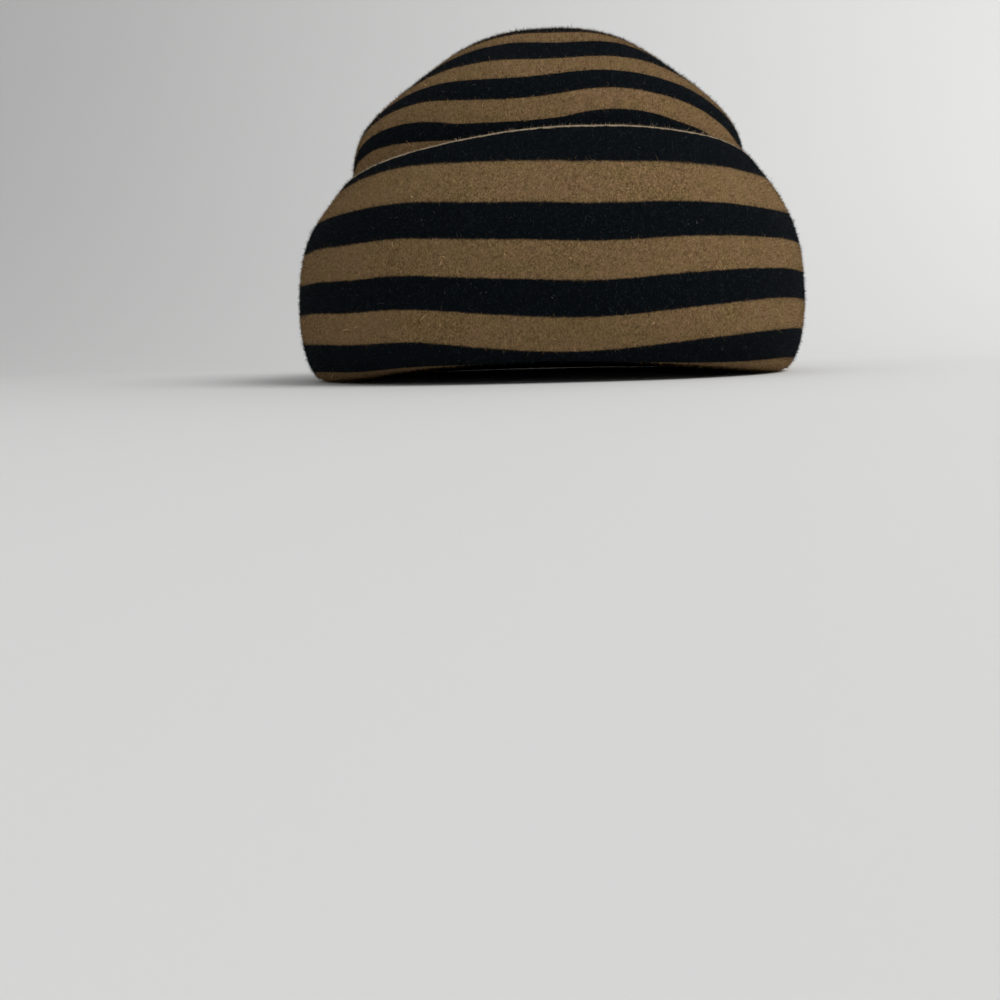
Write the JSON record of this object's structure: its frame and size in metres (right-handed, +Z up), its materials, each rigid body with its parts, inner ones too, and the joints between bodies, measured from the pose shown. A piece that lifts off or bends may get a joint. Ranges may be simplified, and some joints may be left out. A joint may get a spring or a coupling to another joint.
{
  "type": "felt sailor hat",
  "caption": "Soft striped wool-felt hat with a round crown and a deep brim folded up all round, hollow for the head, with a ribbon sweatband inside.",
  "frame": {"origin": "middle of the hat's box, on the plane that the folded rim rests on", "axes": "+Z up toward the crown tip, -Y the front of the hat, +X across the head"},
  "size_m": [0.2132, 0.2396, 0.1368],
  "materials": {
    "striped_felt": "matte, softly fuzzy felt in black and camel stripes",
    "ribbon": "black ribbed ribbon with a slight sheen",
    "label_cloth": "plain pale grey woven label, bare"
  },
  "bodies": {
    "root": {"felt_body": "striped_felt", "sweatband": "ribbon", "label": "label_cloth"}
  },
  "joints": []
}
